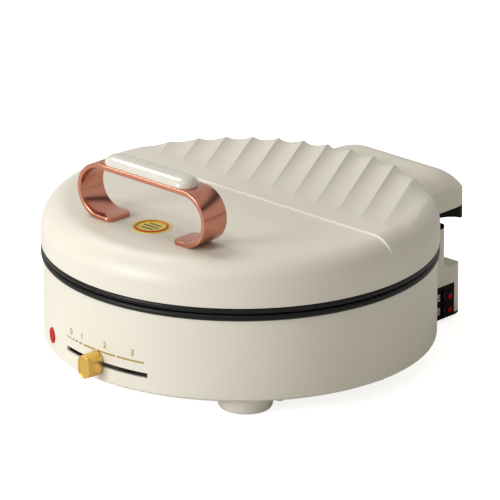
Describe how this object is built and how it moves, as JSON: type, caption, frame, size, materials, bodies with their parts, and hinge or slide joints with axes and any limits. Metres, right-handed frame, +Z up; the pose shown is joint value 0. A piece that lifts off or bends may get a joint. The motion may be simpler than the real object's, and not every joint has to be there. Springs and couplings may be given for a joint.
{
  "type": "two-plate electric baking pan",
  "caption": "Round countertop baking pan with a hinged lid, two heated non-stick plates, a looped strap handle, a heat slider and rocker switches.",
  "frame": {"origin": "middle of the footprint's bounding box, on the surface the feet rest on", "axes": "+Z up, +Y towards the hinge at the back, +X to the right as seen from the front"},
  "size_m": [0.3499, 0.3966, 0.2001],
  "materials": {
    "ivory_plastic": "satin",
    "ivory_gloss": "gloss",
    "black_plastic": "satin",
    "rubber": "matt",
    "copper_strap": "polished",
    "gold_knob": "satin",
    "gold_print": "satin",
    "nonstick": "non-stick coated",
    "heater_steel": "oxidised",
    "sheet_steel": "satin",
    "base_plastic": "satin",
    "ceramic": "satin",
    "fuse_brass": "satin",
    "red_lens": "gloss",
    "lamp": "gloss",
    "nylon": "satin",
    "wire": "satin",
    "badge": "gloss"
  },
  "bodies": {
    "base": {"base_shell": "ivory_plastic", "base_plate": "base_plastic", "base_screws": "sheet_steel", "feet": "ivory_plastic", "foot_pads": "rubber", "lower_rim_ring": "black_plastic", "lower_pan": "nonstick", "lower_heater": "heater_steel", "heater_clips": "sheet_steel", "lower_heat_shield": "sheet_steel", "shield_screws": "sheet_steel", "thermostat": "ceramic", "thermal_fuse": "fuse_brass", "indicator_lens": "red_lens", "indicator_lamp": "lamp", "scale_marks": "gold_print", "terminal_block": "ceramic", "base_wiring": "wire", "rear_housing": "ivory_plastic", "housing_bottom_cover": "black_plastic", "housing_screws": "sheet_steel", "cover_screws": "sheet_steel", "neck_caps": "black_plastic", "switch_bezel": "black_plastic", "switch_bodies": "black_plastic", "cord_bush": "rubber", "hinge_tower": "ivory_plastic", "tower_screws": "sheet_steel", "hinge_pin": "sheet_steel", "hinge_washers": "nylon", "pin_clips": "sheet_steel"},
    "lid": {"lid_shell": "ivory_plastic", "upper_rim_ring": "black_plastic", "upper_plate": "nonstick", "plate_screws": "sheet_steel", "upper_heater": "heater_steel", "upper_heat_shield": "sheet_steel", "upper_shield_screws": "sheet_steel", "upper_thermostat": "ceramic", "lid_wiring": "wire", "arm_cover": "ivory_plastic", "arm_tray": "black_plastic", "hinge_bracket": "sheet_steel", "bracket_screws": "sheet_steel", "handle_strap": "copper_strap", "handle_grip": "ivory_gloss", "grip_backplate": "ivory_gloss", "grip_screws": "sheet_steel", "handle_screws": "sheet_steel", "lid_badge": "badge"},
    "heat_slider": {"control_lever": "sheet_steel", "thermostat_spindle": "sheet_steel", "spindle_nut": "sheet_steel", "slide_knob": "gold_knob"},
    "lower_switch": {"lower_plate_rocker": "black_plastic"},
    "upper_switch": {"upper_plate_rocker": "black_plastic"}
  },
  "joints": [
    {"name": "lid_hinge", "type": "hinge", "parent": "base", "child": "lid", "pos_m": [0, 0.17525, 0.09725], "axis": [-1, 0, 0], "range_deg": [0, 95]},
    {"name": "heat_slide", "type": "hinge", "parent": "base", "child": "heat_slider", "pos_m": [0, -0.00875, 0.0335], "axis": [0, 0, 1], "range_deg": [-12.3, 15.7]},
    {"name": "lower_switch_rock", "type": "hinge", "parent": "base", "child": "lower_switch", "pos_m": [0.082, 0.16575, 0.0115], "axis": [0, 0, -1], "range_deg": [0, 10]},
    {"name": "upper_switch_rock", "type": "hinge", "parent": "base", "child": "upper_switch", "pos_m": [0.082, 0.16575, 0.0243], "axis": [0, 0, -1], "range_deg": [0, 10]}
  ]
}
